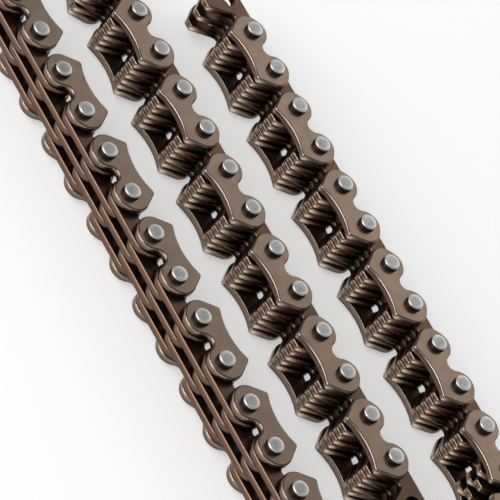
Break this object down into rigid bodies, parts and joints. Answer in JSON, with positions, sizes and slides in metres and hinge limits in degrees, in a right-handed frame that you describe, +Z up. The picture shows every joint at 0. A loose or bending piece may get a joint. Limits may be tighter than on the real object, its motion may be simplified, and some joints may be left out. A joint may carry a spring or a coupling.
{
  "type": "silent timing chain",
  "caption": "Silent timing chain lying open in a loose coil of three straight runs: lobed bronze guide plates over dark toothed plates on steel pins, with a hinge at every pin.",
  "frame": {"origin": "Centre of the free bore of the first toothed link (the outer end of the coil), half way up the chain's width", "axes": "+X along the outer run, away from its free end; -Y is the side its teeth point to; +Z up along the pins"},
  "size_m": [0.124, 0.0416, 0.01],
  "materials": {
    "toothed_steel": "dark brown oxide on stamped steel, bright on the rounded edges",
    "guide_steel": "bronze coloured heat-treated steel, satin, with bare grey pins"
  },
  "bodies": {
    "toothed_link_01": {"toothed_link_01": "toothed_steel"},
    "guide_link_02": {"guide_link_02": "guide_steel"},
    "toothed_link_03": {"toothed_link_03": "toothed_steel"},
    "guide_link_04": {"guide_link_04": "guide_steel"},
    "toothed_link_05": {"toothed_link_05": "toothed_steel"},
    "guide_link_06": {"guide_link_06": "guide_steel"},
    "toothed_link_07": {"toothed_link_07": "toothed_steel"},
    "guide_link_08": {"guide_link_08": "guide_steel"},
    "toothed_link_09": {"toothed_link_09": "toothed_steel"},
    "guide_link_10": {"guide_link_10": "guide_steel"},
    "toothed_link_11": {"toothed_link_11": "toothed_steel"},
    "guide_link_12": {"guide_link_12": "guide_steel"},
    "toothed_link_13": {"toothed_link_13": "toothed_steel"},
    "guide_link_14": {"guide_link_14": "guide_steel"},
    "toothed_link_15": {"toothed_link_15": "toothed_steel"},
    "guide_link_16": {"guide_link_16": "guide_steel"},
    "toothed_link_17": {"toothed_link_17": "toothed_steel"},
    "guide_link_18": {"guide_link_18": "guide_steel"},
    "toothed_link_19": {"toothed_link_19": "toothed_steel"},
    "guide_link_20": {"guide_link_20": "guide_steel"},
    "toothed_link_21": {"toothed_link_21": "toothed_steel"},
    "guide_link_22": {"guide_link_22": "guide_steel"},
    "toothed_link_23": {"toothed_link_23": "toothed_steel"},
    "guide_link_24": {"guide_link_24": "guide_steel"},
    "toothed_link_25": {"toothed_link_25": "toothed_steel"},
    "guide_link_26": {"guide_link_26": "guide_steel"},
    "toothed_link_27": {"toothed_link_27": "toothed_steel"},
    "guide_link_28": {"guide_link_28": "guide_steel"},
    "toothed_link_29": {"toothed_link_29": "toothed_steel"},
    "guide_link_30": {"guide_link_30": "guide_steel"},
    "toothed_link_31": {"toothed_link_31": "toothed_steel"},
    "guide_link_32": {"guide_link_32": "guide_steel"},
    "toothed_link_33": {"toothed_link_33": "toothed_steel"},
    "guide_link_34": {"guide_link_34": "guide_steel"},
    "toothed_link_35": {"toothed_link_35": "toothed_steel"},
    "guide_link_36": {"guide_link_36": "guide_steel"},
    "toothed_link_37": {"toothed_link_37": "toothed_steel"},
    "guide_link_38": {"guide_link_38": "guide_steel"},
    "toothed_link_39": {"toothed_link_39": "toothed_steel"},
    "guide_link_40": {"guide_link_40": "guide_steel"},
    "toothed_link_41": {"toothed_link_41": "toothed_steel"},
    "guide_link_42": {"guide_link_42": "guide_steel"},
    "toothed_link_43": {"toothed_link_43": "toothed_steel"},
    "guide_link_44": {"guide_link_44": "guide_steel"},
    "toothed_link_45": {"toothed_link_45": "toothed_steel"},
    "guide_link_46": {"guide_link_46": "guide_steel"},
    "toothed_link_47": {"toothed_link_47": "toothed_steel"},
    "guide_link_48": {"guide_link_48": "guide_steel"},
    "toothed_link_49": {"toothed_link_49": "toothed_steel"},
    "guide_link_50": {"guide_link_50": "guide_steel"},
    "toothed_link_51": {"toothed_link_51": "toothed_steel"},
    "guide_link_52": {"guide_link_52": "guide_steel"},
    "toothed_link_53": {"toothed_link_53": "toothed_steel"},
    "guide_link_54": {"guide_link_54": "guide_steel"},
    "toothed_link_55": {"toothed_link_55": "toothed_steel"}
  },
  "joints": [
    {"name": "hinge_01", "type": "hinge", "parent": "guide_link_02", "child": "toothed_link_01", "pos_m": [0.00635, 0, 0], "axis": [0, 0, 1], "range_deg": [-20, 40]},
    {"name": "hinge_02", "type": "hinge", "parent": "toothed_link_03", "child": "guide_link_02", "pos_m": [0.0127, 0, 0], "axis": [0, 0, 1], "range_deg": [-20, 40]},
    {"name": "hinge_03", "type": "hinge", "parent": "guide_link_04", "child": "toothed_link_03", "pos_m": [0.01905, 0, 0], "axis": [0, 0, 1], "range_deg": [-20.05, 10.05]},
    {"name": "hinge_04", "type": "hinge", "parent": "toothed_link_05", "child": "guide_link_04", "pos_m": [0.0254, 0, 0], "axis": [0, 0, 1], "range_deg": [-20, 40]},
    {"name": "hinge_05", "type": "hinge", "parent": "guide_link_06", "child": "toothed_link_05", "pos_m": [0.03175, 0, 0], "axis": [0, 0, 1], "range_deg": [-20.05, 10.05]},
    {"name": "hinge_06", "type": "hinge", "parent": "toothed_link_07", "child": "guide_link_06", "pos_m": [0.0381, 0, 0], "axis": [0, 0, 1], "range_deg": [-20.05, 10.05]},
    {"name": "hinge_07", "type": "hinge", "parent": "guide_link_08", "child": "toothed_link_07", "pos_m": [0.04445, 0, 0], "axis": [0, 0, 1], "range_deg": [-20, 40]},
    {"name": "hinge_08", "type": "hinge", "parent": "toothed_link_09", "child": "guide_link_08", "pos_m": [0.0508, 0, 0], "axis": [0, 0, 1], "range_deg": [-20.05, 10.05]},
    {"name": "hinge_09", "type": "hinge", "parent": "guide_link_10", "child": "toothed_link_09", "pos_m": [0.05715, 0, 0], "axis": [0, 0, 1], "range_deg": [-20.05, 10.05]},
    {"name": "hinge_10", "type": "hinge", "parent": "toothed_link_11", "child": "guide_link_10", "pos_m": [0.0635, 0, 0], "axis": [0, 0, 1], "range_deg": [-20, 40]},
    {"name": "hinge_11", "type": "hinge", "parent": "guide_link_12", "child": "toothed_link_11", "pos_m": [0.06985, 0, 0], "axis": [0, 0, 1], "range_deg": [-20.05, 10.05]},
    {"name": "hinge_12", "type": "hinge", "parent": "toothed_link_13", "child": "guide_link_12", "pos_m": [0.0762, 0, 0], "axis": [0, 0, 1], "range_deg": [-9.7, 12.05]},
    {"name": "hinge_13", "type": "hinge", "parent": "guide_link_14", "child": "toothed_link_13", "pos_m": [0.08181, -0.00298, 0], "axis": [0, 0, 1], "range_deg": [-24, 19.3]},
    {"name": "hinge_14", "type": "hinge", "parent": "toothed_link_15", "child": "guide_link_14", "pos_m": [0.086, -0.00775, 0], "axis": [0, 0, 1], "range_deg": [-9.7, 12.05]},
    {"name": "hinge_15", "type": "hinge", "parent": "guide_link_16", "child": "toothed_link_15", "pos_m": [0.08824, -0.01369, 0], "axis": [0, 0, 1], "range_deg": [-9.7, 19.35]},
    {"name": "hinge_16", "type": "hinge", "parent": "toothed_link_17", "child": "guide_link_16", "pos_m": [0.08824, -0.02004, 0], "axis": [0, 0, 1], "range_deg": [-38.6, 19.3]},
    {"name": "hinge_17", "type": "hinge", "parent": "guide_link_18", "child": "toothed_link_17", "pos_m": [0.086, -0.02598, 0], "axis": [0, 0, 1], "range_deg": [-9.7, 19.35]},
    {"name": "hinge_18", "type": "hinge", "parent": "toothed_link_19", "child": "guide_link_18", "pos_m": [0.08181, -0.03075, 0], "axis": [0, 0, 1], "range_deg": [-6.05, 19.35]},
    {"name": "hinge_19", "type": "hinge", "parent": "guide_link_20", "child": "toothed_link_19", "pos_m": [0.0762, -0.03373, 0], "axis": [0, 0, 1], "range_deg": [-38.6, 12]},
    {"name": "hinge_20", "type": "hinge", "parent": "toothed_link_21", "child": "guide_link_20", "pos_m": [0.06985, -0.03373, 0], "axis": [0, 0, 1], "range_deg": [-6.05, 19.35]},
    {"name": "hinge_21", "type": "hinge", "parent": "guide_link_22", "child": "toothed_link_21", "pos_m": [0.0635, -0.03373, 0], "axis": [0, 0, 1], "range_deg": [-20.05, 10.05]},
    {"name": "hinge_22", "type": "hinge", "parent": "toothed_link_23", "child": "guide_link_22", "pos_m": [0.05715, -0.03373, 0], "axis": [0, 0, 1], "range_deg": [-20, 40]},
    {"name": "hinge_23", "type": "hinge", "parent": "guide_link_24", "child": "toothed_link_23", "pos_m": [0.0508, -0.03373, 0], "axis": [0, 0, 1], "range_deg": [-20.05, 10.05]},
    {"name": "hinge_24", "type": "hinge", "parent": "toothed_link_25", "child": "guide_link_24", "pos_m": [0.04445, -0.03373, 0], "axis": [0, 0, 1], "range_deg": [-20.05, 10.05]},
    {"name": "hinge_25", "type": "hinge", "parent": "guide_link_26", "child": "toothed_link_25", "pos_m": [0.0381, -0.03373, 0], "axis": [0, 0, 1], "range_deg": [-20, 40]},
    {"name": "hinge_26", "type": "hinge", "parent": "toothed_link_27", "child": "guide_link_26", "pos_m": [0.03175, -0.03373, 0], "axis": [0, 0, 1], "range_deg": [-20.05, 10.05]},
    {"name": "hinge_27", "type": "hinge", "parent": "guide_link_28", "child": "toothed_link_27", "pos_m": [0.0254, -0.03373, 0], "axis": [0, 0, 1], "range_deg": [-20.05, 10.05]},
    {"name": "hinge_28", "type": "hinge", "parent": "toothed_link_29", "child": "guide_link_28", "pos_m": [0.01905, -0.03373, 0], "axis": [0, 0, 1], "range_deg": [-20, 40]},
    {"name": "hinge_29", "type": "hinge", "parent": "guide_link_30", "child": "toothed_link_29", "pos_m": [0.0127, -0.03373, 0], "axis": [0, 0, 1], "range_deg": [-20.05, 10.05]},
    {"name": "hinge_30", "type": "hinge", "parent": "guide_link_30", "child": "toothed_link_31", "pos_m": [0.00635, -0.03373, 0], "axis": [0, 0, -1], "range_deg": [-10.05, 10.05]},
    {"name": "hinge_31", "type": "hinge", "parent": "toothed_link_31", "child": "guide_link_32", "pos_m": [0, -0.03373, 0], "axis": [0, 0, -1], "range_deg": [-20, 20]},
    {"name": "hinge_32", "type": "hinge", "parent": "guide_link_32", "child": "toothed_link_33", "pos_m": [-0.00635, -0.03373, 0], "axis": [0, 0, -1], "range_deg": [-10.05, 10.05]},
    {"name": "hinge_33", "type": "hinge", "parent": "toothed_link_33", "child": "guide_link_34", "pos_m": [-0.0126, -0.03483, 0], "axis": [0, 0, -1], "range_deg": [-4.3, 8.6]},
    {"name": "hinge_34", "type": "hinge", "parent": "guide_link_34", "child": "toothed_link_35", "pos_m": [-0.01857, -0.03701, 0], "axis": [0, 0, -1], "range_deg": [-17.1, 8.5]},
    {"name": "hinge_35", "type": "hinge", "parent": "toothed_link_35", "child": "guide_link_36", "pos_m": [-0.02479, -0.03575, 0], "axis": [0, 0, -1], "range_deg": [-4.3, 8.6]},
    {"name": "hinge_36", "type": "hinge", "parent": "guide_link_36", "child": "toothed_link_37", "pos_m": [-0.02945, -0.03143, 0], "axis": [0, 0, -1], "range_deg": [-4.3, 8.6]},
    {"name": "hinge_37", "type": "hinge", "parent": "toothed_link_37", "child": "guide_link_38", "pos_m": [-0.03117, -0.02532, 0], "axis": [0, 0, -1], "range_deg": [-17.1, 8.5]},
    {"name": "hinge_38", "type": "hinge", "parent": "guide_link_38", "child": "toothed_link_39", "pos_m": [-0.02945, -0.0192, 0], "axis": [0, 0, -1], "range_deg": [-4.3, 8.6]},
    {"name": "hinge_39", "type": "hinge", "parent": "toothed_link_39", "child": "guide_link_40", "pos_m": [-0.02479, -0.01488, 0], "axis": [0, 0, -1], "range_deg": [-4.3, 8.6]},
    {"name": "hinge_40", "type": "hinge", "parent": "guide_link_40", "child": "toothed_link_41", "pos_m": [-0.01857, -0.01363, 0], "axis": [0, 0, -1], "range_deg": [-17.1, 8.5]},
    {"name": "hinge_41", "type": "hinge", "parent": "toothed_link_41", "child": "guide_link_42", "pos_m": [-0.0126, -0.0158, 0], "axis": [0, 0, -1], "range_deg": [-4.3, 8.6]},
    {"name": "hinge_42", "type": "hinge", "parent": "guide_link_42", "child": "toothed_link_43", "pos_m": [-0.00635, -0.0169, 0], "axis": [0, 0, -1], "range_deg": [-10.05, 10.05]},
    {"name": "hinge_43", "type": "hinge", "parent": "toothed_link_43", "child": "guide_link_44", "pos_m": [0, -0.0169, 0], "axis": [0, 0, -1], "range_deg": [-20, 20]},
    {"name": "hinge_44", "type": "hinge", "parent": "guide_link_44", "child": "toothed_link_45", "pos_m": [0.00635, -0.0169, 0], "axis": [0, 0, -1], "range_deg": [-10.05, 10.05]},
    {"name": "hinge_45", "type": "hinge", "parent": "toothed_link_45", "child": "guide_link_46", "pos_m": [0.0127, -0.0169, 0], "axis": [0, 0, -1], "range_deg": [-20.05, 10.05]},
    {"name": "hinge_46", "type": "hinge", "parent": "guide_link_46", "child": "toothed_link_47", "pos_m": [0.01905, -0.0169, 0], "axis": [0, 0, -1], "range_deg": [-20, 40]},
    {"name": "hinge_47", "type": "hinge", "parent": "toothed_link_47", "child": "guide_link_48", "pos_m": [0.0254, -0.0169, 0], "axis": [0, 0, -1], "range_deg": [-20.05, 10.05]},
    {"name": "hinge_48", "type": "hinge", "parent": "guide_link_48", "child": "toothed_link_49", "pos_m": [0.03175, -0.0169, 0], "axis": [0, 0, -1], "range_deg": [-20.05, 10.05]},
    {"name": "hinge_49", "type": "hinge", "parent": "toothed_link_49", "child": "guide_link_50", "pos_m": [0.0381, -0.0169, 0], "axis": [0, 0, -1], "range_deg": [-20, 40]},
    {"name": "hinge_50", "type": "hinge", "parent": "guide_link_50", "child": "toothed_link_51", "pos_m": [0.04445, -0.0169, 0], "axis": [0, 0, -1], "range_deg": [-20.05, 10.05]},
    {"name": "hinge_51", "type": "hinge", "parent": "toothed_link_51", "child": "guide_link_52", "pos_m": [0.0508, -0.0169, 0], "axis": [0, 0, -1], "range_deg": [-20.05, 10.05]},
    {"name": "hinge_52", "type": "hinge", "parent": "guide_link_52", "child": "toothed_link_53", "pos_m": [0.05715, -0.0169, 0], "axis": [0, 0, -1], "range_deg": [-20, 40]},
    {"name": "hinge_53", "type": "hinge", "parent": "toothed_link_53", "child": "guide_link_54", "pos_m": [0.0635, -0.0169, 0], "axis": [0, 0, -1], "range_deg": [-20.05, 10.05]},
    {"name": "hinge_54", "type": "hinge", "parent": "guide_link_54", "child": "toothed_link_55", "pos_m": [0.06985, -0.0169, 0], "axis": [0, 0, -1], "range_deg": [-20, 40]}
  ],
  "couplings": [
    {"joint": "hinge_03", "follows": "hinge_04", "ratio": -0.5},
    {"joint": "hinge_05", "follows": "hinge_04", "ratio": -0.5},
    {"joint": "hinge_06", "follows": "hinge_07", "ratio": -0.5},
    {"joint": "hinge_08", "follows": "hinge_07", "ratio": -0.5},
    {"joint": "hinge_09", "follows": "hinge_10", "ratio": -0.5},
    {"joint": "hinge_11", "follows": "hinge_10", "ratio": -0.5},
    {"joint": "hinge_12", "follows": "hinge_13", "ratio": -0.5},
    {"joint": "hinge_14", "follows": "hinge_13", "ratio": -0.5},
    {"joint": "hinge_15", "follows": "hinge_16", "ratio": -0.5},
    {"joint": "hinge_17", "follows": "hinge_16", "ratio": -0.5},
    {"joint": "hinge_18", "follows": "hinge_19", "ratio": -0.5},
    {"joint": "hinge_20", "follows": "hinge_19", "ratio": -0.5},
    {"joint": "hinge_21", "follows": "hinge_22", "ratio": -0.5},
    {"joint": "hinge_23", "follows": "hinge_22", "ratio": -0.5},
    {"joint": "hinge_24", "follows": "hinge_25", "ratio": -0.5},
    {"joint": "hinge_26", "follows": "hinge_25", "ratio": -0.5},
    {"joint": "hinge_27", "follows": "hinge_28", "ratio": -0.5},
    {"joint": "hinge_29", "follows": "hinge_28", "ratio": -0.5},
    {"joint": "hinge_30", "follows": "hinge_31", "ratio": -0.5},
    {"joint": "hinge_32", "follows": "hinge_31", "ratio": -0.5},
    {"joint": "hinge_33", "follows": "hinge_34", "ratio": -0.5},
    {"joint": "hinge_35", "follows": "hinge_34", "ratio": -0.5},
    {"joint": "hinge_36", "follows": "hinge_37", "ratio": -0.5},
    {"joint": "hinge_38", "follows": "hinge_37", "ratio": -0.5},
    {"joint": "hinge_39", "follows": "hinge_40", "ratio": -0.5},
    {"joint": "hinge_41", "follows": "hinge_40", "ratio": -0.5},
    {"joint": "hinge_42", "follows": "hinge_43", "ratio": -0.5},
    {"joint": "hinge_44", "follows": "hinge_43", "ratio": -0.5},
    {"joint": "hinge_45", "follows": "hinge_46", "ratio": -0.5},
    {"joint": "hinge_47", "follows": "hinge_46", "ratio": -0.5},
    {"joint": "hinge_48", "follows": "hinge_49", "ratio": -0.5},
    {"joint": "hinge_50", "follows": "hinge_49", "ratio": -0.5},
    {"joint": "hinge_51", "follows": "hinge_52", "ratio": -0.5},
    {"joint": "hinge_53", "follows": "hinge_52", "ratio": -0.5}
  ]
}
